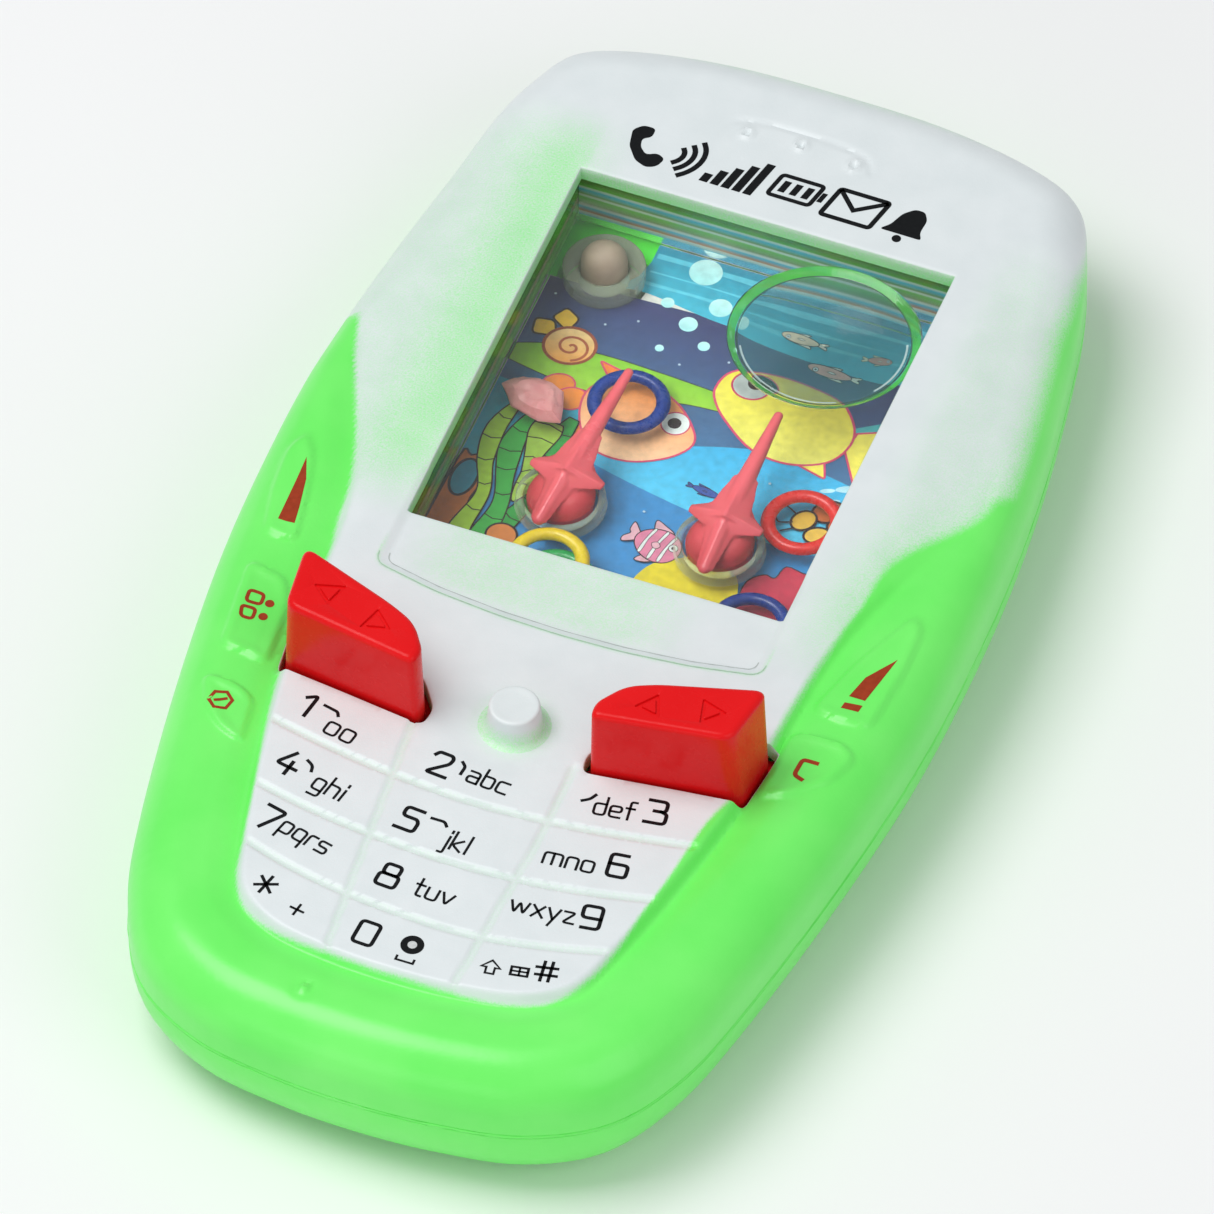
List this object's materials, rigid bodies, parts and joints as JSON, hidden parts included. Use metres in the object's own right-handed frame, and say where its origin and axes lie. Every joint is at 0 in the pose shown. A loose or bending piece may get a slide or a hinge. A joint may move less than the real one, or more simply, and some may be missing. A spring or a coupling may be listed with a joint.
{
  "type": "toy cell phone water ring-toss game",
  "caption": "Phone-shaped handheld water game: buttons pump water through a windowed tank to float rings onto pegs.",
  "frame": {"origin": "centre of the box's bottom, on the back shell's flat", "axes": "+Z out of the face, +Y towards the earpiece end, +X to the right of the face"},
  "size_m": [0.0658, 0.12, 0.0247],
  "materials": {
    "case_green": "glossy apple-green moulding, sprayed white and silver over the raised face",
    "clear_tank": "clear moulding",
    "water": "clear water",
    "picture_print": null,
    "button_red": "glossy red moulding",
    "peg_pink": "glossy pink moulding",
    "shell_pink": "translucent pale pink moulding",
    "rubber_beige": "matt beige rubber",
    "collar_white": "plain white moulding",
    "ring_blue": "glossy dark blue moulding",
    "ring_red": "glossy red moulding",
    "ring_green": "glossy green moulding",
    "ring_yellow": "glossy yellow moulding"
  },
  "bodies": {
    "case": {"front_shell": "case_green", "back_shell": "case_green", "tank_front": "clear_tank", "tank_back": "clear_tank", "picture_card": "picture_print", "peg_left": "peg_pink", "peg_right": "peg_pink", "water": "water", "pump_bellows_left": "rubber_beige", "pump_bellows_right": "rubber_beige", "bellows_collar_left": "collar_white", "bellows_collar_right": "collar_white"},
    "button_left": {"button_left": "button_red"},
    "button_right": {"button_right": "button_red"},
    "filler_plug": {"filler_plug": "rubber_beige"},
    "floating_shell": {"floating_shell": "shell_pink"},
    "ring_blue_upper": {"ring_blue_upper": "ring_blue"},
    "ring_blue_lower": {"ring_blue_lower": "ring_blue"},
    "ring_red": {"ring_red": "ring_red"},
    "ring_green": {"ring_green": "ring_green"},
    "ring_yellow": {"ring_yellow": "ring_yellow"}
  },
  "joints": [
    {"name": "button_left_press", "type": "slide", "parent": "case", "child": "button_left", "axis": [0, 0, -1], "range_m": [0, 0.0036], "stiffness_N_per_m": 300, "deforming": ["pump_bellows_left", "water"]},
    {"name": "button_right_press", "type": "slide", "parent": "case", "child": "button_right", "axis": [0, 0, -1], "range_m": [0, 0.0036], "stiffness_N_per_m": 300, "deforming": ["pump_bellows_right"]},
    {"name": "filler_plug_pull", "type": "slide", "parent": "case", "child": "filler_plug", "axis": [0, 0, -1], "range_m": [0, 0.008]},
    {"name": "floating_shell_drift", "type": "slide", "parent": "case", "child": "floating_shell", "axis": [0, 1, 0], "range_m": [0, 0.009]},
    {"name": "ring_blue_upper_drift", "type": "slide", "parent": "case", "child": "ring_blue_upper", "axis": [0, 1, 0], "range_m": [0, 0.0115]},
    {"name": "ring_red_drift", "type": "slide", "parent": "case", "child": "ring_red", "axis": [0, 1, 0], "range_m": [0, 0.014]},
    {"name": "ring_blue_lower_drift", "type": "slide", "parent": "case", "child": "ring_blue_lower", "axis": [-0.995, -0.0995, 0], "range_m": [0, 0.009]},
    {"name": "ring_green_drift", "type": "slide", "parent": "case", "child": "ring_green", "axis": [-1, 0, 0], "range_m": [0, 0.009]},
    {"name": "ring_yellow_drift", "type": "slide", "parent": "case", "child": "ring_yellow", "axis": [-1, 0, 0], "range_m": [0, 0.0082]}
  ]
}
